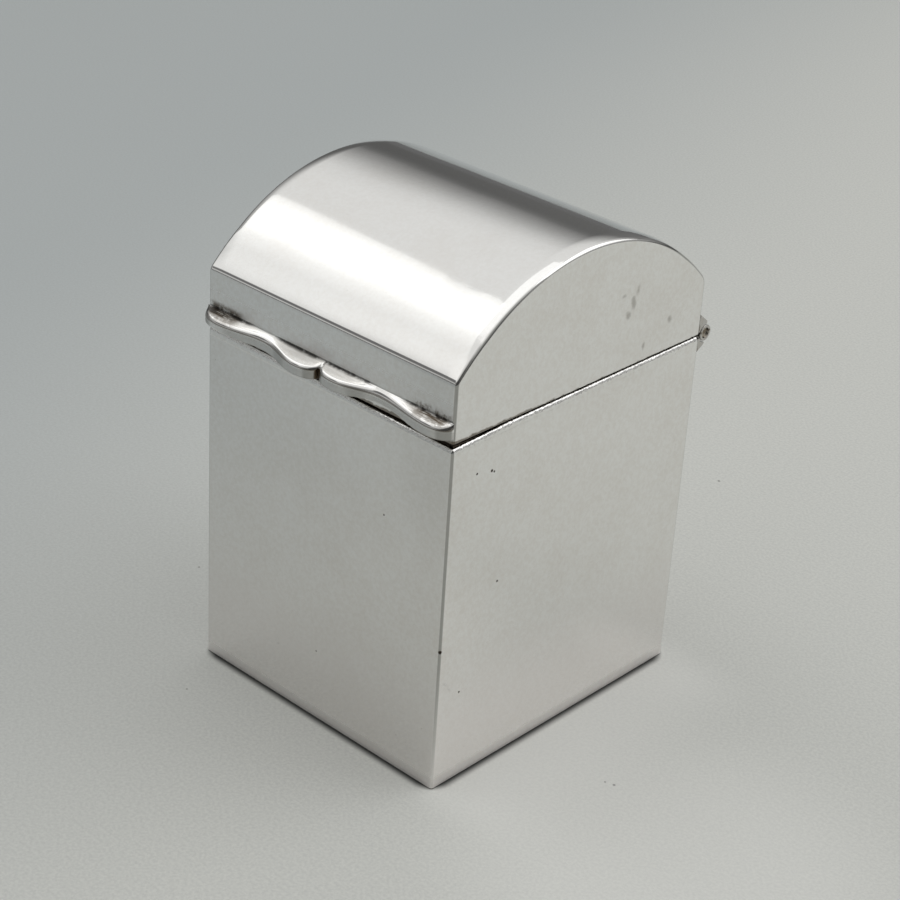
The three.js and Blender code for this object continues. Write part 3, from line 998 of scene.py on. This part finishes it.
# floor, light and camera
floorLook = {
    "size": 9.0, "pale": (0.712, 0.720, 0.687, 1), "shade": (0.498, 0.531, 0.536, 1),
    "paleWay": (1.08, 0.293), "paleFrom": (-240, 20),  # painted light falloff: paler to the right, in shade to the left
    "cloud": (0.006, 3.0, 0.5), "mottle": 0.1, "fine": (1.4, 4.0, 0.7), "grains": (0.3, 0.7), "grain": 0.32,
    "grainTint": (0.40, 0.41, 0.40, 1), "grainHigh": 0.02, "rough": 0.8, "shine": 0.2,
    # painted light: the board is paler beside the polished right side, as if it threw light there, and more
    # widely in front of it
    "besideX": (34.0, 38.0, 26.0), "besideY": (-30.0, 30.0, 16.0),
    "beside": 0.42, "besideTint": (0.93, 0.93, 0.90, 1),
    "glowAt": [(82.0, -20.0, 0, 58.0)], "glow": 0.27, "glowTint": (0.96, 0.96, 0.93, 1),
    # painted shadow close to the foot, less at the corners
    "footWide": 2.1, "footCorner": 4.0, "foot": 0.94, "footTint": (0.02, 0.02, 0.02, 1),
    "speckAt": [(57.9, -8.2, 0, 0.42), (56.0, -8.8, 0, 0.3), (-5.9, 110.5, 0, 0.5), (-61.2, -15.8, 0, 0.36),
                (-25.5, -50.1, 0, 0.3), (101.0, -15.0, 0, 0.55)],
    "speck": 0.7, "speckTint": (0.12, 0.11, 0.10, 1),
}


def fromFoot(at, corner):  # distance on the floor from the box's outline
    pastX = most(abs(at.x) - (box["halfWidth"] - corner), 0.0)
    pastY = most(abs(at.y) - (box["halfDepth"] - corner), 0.0)
    away = addNode(at.where.tree, "ShaderNodeCombineXYZ", None, in0=pastX, in1=pastY)
    return vectorMaths("LENGTH", Value(away.outputs[0])) - corner


def makeFloor(look):
    putDown()
    bpy.ops.mesh.primitive_plane_add(size=look["size"], location=(0, 0, 0))
    floor = bpy.context.object
    floor.name = "floor"
    finish, shader, at = newFinish("floorBoard")
    fine = noise(at.where, *look["fine"])
    cloud = (noise(at.where, *look["cloud"]) - 0.5) * look["mottle"]
    across = at.x * look["paleWay"][0] + at.y * look["paleWay"][1]
    # painted light falloff: paler to the right and shaded to the left, with a random mottle
    board = mixColour(step(across, *look["paleFrom"]) + cloud, look["shade"], look["pale"])
    # painted light beside the right side
    beside = within(at.x, *look["besideX"]) * within(at.y, *look["besideY"])
    # painted shadow on the board round the foot
    foot = step(fromFoot(at, look["footCorner"]), look["footWide"], 0.0)
    for mark, name in ((step(fine, *look["grains"]), "grain"), (beside, "beside"),
                       (spots(at.where, look["glowAt"]), "glow"), (foot, "foot"),
                       (spots(at.where, look["speckAt"]), "speck")):
        board = mixColour(mark * look[name], board, look[name + "Tint"])
    dress(shader, fine * look["grainHigh"],
          {"Base Color": board, "Roughness": look["rough"], "Specular IOR Level": look["shine"]})
    floor.data.materials.append(finish)


makeFloor(floorLook)

# windows on the left and behind on the right, and a wide soft light overhead:
# places in metres, angles in degrees, power in watts, and levels across the first from side to side
lamps = {
    "leftWindow": {"place": (-0.7859, -0.3563, 0.8786), "turn": (41.192, 25.002, -93.777),
                   "size": (0.8675, 0.9), "power": 1.32,
                   "levels": [(0.0, 0.42), (0.09, 0.78), (0.2, 1.0), (0.35, 1.0), (0.47, 0.5), (0.61, 0.25),
                              (0.79, 0.4), (1.0, 0.4)]},
    "overhead": {"place": (0.2, 0.05, 1.15), "turn": (0, 0, 0), "size": (1.3, 1.0), "power": 1.25},
    "backWindow": {"place": (0.62, 0.80, 0.80), "turn": (-54, 0, -37.8), "size": (1.0, 0.8), "power": 2.2},
}


def makeLamp(name, lamp):
    light = bpy.data.lights.new(name, "AREA")
    light.shape = "RECTANGLE"
    light.size, light.size_y = lamp["size"]
    light.energy = lamp["power"]
    if "levels" in lamp:
        light.use_nodes = True
        tree = light.node_tree
        across = axesOf(Value(addNode(tree, "ShaderNodeNewGeometry").outputs["Parametric"]))[0]
        fill(tree.nodes["Emission"].inputs["Color"], levelRamp(across, lamp["levels"]))
    holder = bpy.data.objects.new(name, light)
    holder.location = lamp["place"]
    holder.rotation_euler = [math.radians(angle) for angle in lamp["turn"]]
    scene.collection.objects.link(holder)


for name, lamp in lamps.items():
    makeLamp(name, lamp)

# the room: pale above, with a horizon that changes round it, from the left over the front to the right
room = {"levels": [(0.0, 0.105), (0.22, 0.105), (0.31, 0.15), (0.41, 0.295), (0.466, 0.405), (0.52, 0.535),
                   (0.58, 0.66), (0.66, 0.725), (1.0, 0.78)],
        "horizon": [(0.0, 0.15), (0.083, 0.35), (0.136, 0.52), (0.208, 0.4), (0.278, 0.2), (0.367, 0.11),
                    (0.472, 0.17), (0.5, 0.2), (0.603, 0.42), (0.68, 0.42), (0.778, 0.2), (0.864, 0.1),
                    (1.0, 0.15)],
        "horizonUp": (0.2, 0.36), "skirting": (0.13, 0.13, 0.13, 1), "skirtingUp": (0.05, 0.11),
        # dark on the camera's side and under the left window: direction, fading and whole angle, level
        "patches": [((0.63, -0.70, 0.33), 34, 24, 0.11), ((-0.60, -0.68, 0.42), 14, 7, 0.14)]}


def makeRoom(look):
    world = bpy.data.worlds.new("room")
    scene.world = world
    world.use_nodes = True
    tree = world.node_tree
    way = Value(addNode(tree, "ShaderNodeTexCoord").outputs["Generated"])
    x, y, up = axesOf(way)
    turn = maths("DIVIDE", maths("ARCTAN2", y, x), 2 * math.pi) + 0.5  # from 0 to 1 round the room
    low = mixColour(step(up, *look["skirtingUp"]), look["skirting"], levelRamp(turn, look["horizon"]))
    seen = mixColour(step(up, *look["horizonUp"]), low, levelRamp(up, look["levels"]))
    for towards, fading, whole, level in look["patches"]:
        facing = vectorMaths("DOT_PRODUCT", way, in1=Vector(towards).normalized())
        patch = step(facing, math.cos(math.radians(fading)), math.cos(math.radians(whole)))
        seen = mixColour(patch, seen, (level, level, level, 1))
    fill(tree.nodes["Background"].inputs["Color"], seen)


makeRoom(room)

# angles in degrees, lengths in millimetres
cameraPlace = {"azimuth": 41.72, "elevation": 28.33, "roll": 3.63, "target": (0, 0, 51), "distance": 465.7,
               "right": 0.204, "up": -0.360, "lens": 88.81, "sensor": 36, "clipStart": 10}


def makeCamera(place):
    azimuth, elevation, roll = (math.radians(place[key]) for key in ("azimuth", "elevation", "roll"))
    back = Vector((math.sin(azimuth) * math.cos(elevation), -math.cos(azimuth) * math.cos(elevation),
                   math.sin(elevation)))
    level = Vector((math.cos(azimuth), math.sin(azimuth), 0))
    upright = back.cross(level)
    right = level * math.cos(roll) + upright * math.sin(roll)
    up = upright * math.cos(roll) - level * math.sin(roll)
    data = bpy.data.cameras.new("camera")
    data.lens = place["lens"]
    data.sensor_width = place["sensor"]
    data.sensor_fit = "HORIZONTAL"
    data.clip_start = place["clipStart"] * mm
    holder = bpy.data.objects.new("camera", data)
    spot = Vector(place["target"]) + back * place["distance"] + right * place["right"] + up * place["up"]
    turn = Matrix((right, up, back)).transposed()
    holder.matrix_world = Matrix.Translation(spot * mm) @ turn.to_4x4()
    scene.collection.objects.link(holder)
    scene.camera = holder


makeCamera(cameraPlace)
print("floor, light and camera set")

bpy.context.view_layer.update()
